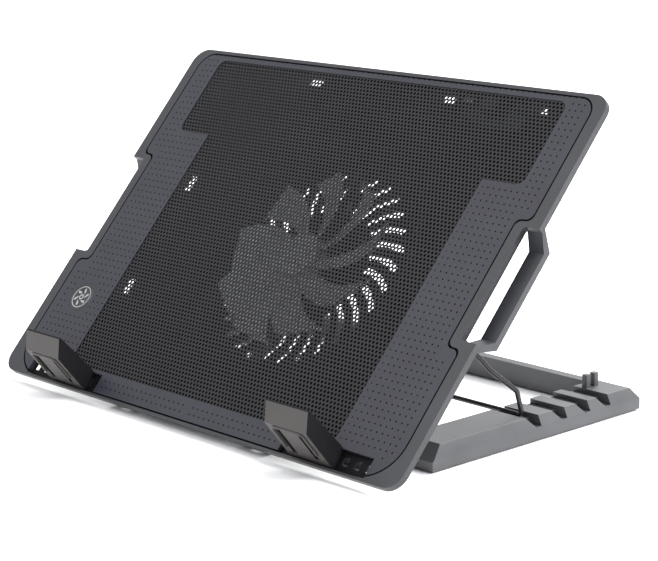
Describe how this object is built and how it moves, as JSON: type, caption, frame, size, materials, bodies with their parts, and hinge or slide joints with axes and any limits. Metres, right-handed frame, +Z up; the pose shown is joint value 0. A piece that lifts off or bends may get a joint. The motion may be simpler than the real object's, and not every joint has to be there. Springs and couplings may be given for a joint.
{
  "type": "laptop cooling pad",
  "caption": "Tilting laptop cooling pad: a perforated panel over one wide fan, with front stoppers and side grips, held by a wire prop on a notched base frame.",
  "frame": {"origin": "on the table, under the middle of the bounding box of the pad with its panel on the second tilt setting", "axes": "+X to the user's right along the front edge, +Y away from the user, +Z up"},
  "size_m": [0.36, 0.2378, 0.1943],
  "materials": {
    "black_shell": "fine texture",
    "black_cover": "satin",
    "black_mesh": "satin",
    "badge": "satin",
    "fan_grey": "satin",
    "frame_grey": "satin",
    "steel": "satin",
    "bronze": "sintered",
    "magnet": "matt",
    "lamination": "matt",
    "enamel_wire": "gloss",
    "board_green": "satin",
    "lead_black": "satin",
    "stopper_brown": "satin",
    "rubber": "matt",
    "wire_black": "semi-gloss"
  },
  "bodies": {
    "base": {"base_frame": "black_shell", "base_feet": "rubber"},
    "panel": {"bottom_shell": "black_shell", "top_cover": "black_cover", "mesh_grille": "black_mesh", "badge_disc": "badge", "fan_frame": "frame_grey", "fan_bearing": "bronze", "stator_core": "lamination", "stator_coils": "enamel_wire", "motor_board": "board_green", "fan_screws": "steel", "fan_lead": "lead_black", "usb_board": "board_green", "usb_port": "steel", "usb_inlet": "steel", "switch_body": "frame_grey", "hinge_pin_left": "steel", "hinge_pin_right": "steel", "prop_clamp_left": "black_shell", "prop_clamp_right": "black_shell", "clamp_screws": "steel", "shell_screws": "steel"},
    "rotor": {"fan_rotor": "fan_grey", "rotor_magnet": "magnet", "fan_shaft": "steel"},
    "prop": {"wire_prop": "wire_black"},
    "left_stopper": {"stopper_left": "stopper_brown"},
    "right_stopper": {"stopper_right": "stopper_brown"},
    "switch": {"switch_knob": "black_shell"}
  },
  "joints": [
    {"name": "panel_tilt", "type": "hinge", "parent": "base", "child": "panel", "pos_m": [0, -0.09533, 0.00591], "axis": [1, 0, 0], "range_deg": [0, 42]},
    {"name": "prop_swing", "type": "hinge", "parent": "panel", "child": "prop", "pos_m": [0, -0.02206, 0.08056], "axis": [1, 0, 0], "range_deg": [0, 80]},
    {"name": "fan_spin", "type": "hinge", "parent": "panel", "child": "rotor", "pos_m": [0, -0.00474, 0.08783], "axis": [0, -0.7431, 0.6691], "continuous": true},
    {"name": "stopper_left_slide", "type": "slide", "parent": "panel", "child": "left_stopper", "axis": [1, 0, 0], "range_m": [-0.025, 0.0095]},
    {"name": "stopper_right_slide", "type": "slide", "parent": "panel", "child": "right_stopper", "axis": [1, 0, 0], "range_m": [-0.0095, 0.025]},
    {"name": "switch_slide", "type": "slide", "parent": "panel", "child": "switch", "axis": [1, 0, 0], "range_m": [0, 0.003]}
  ]
}
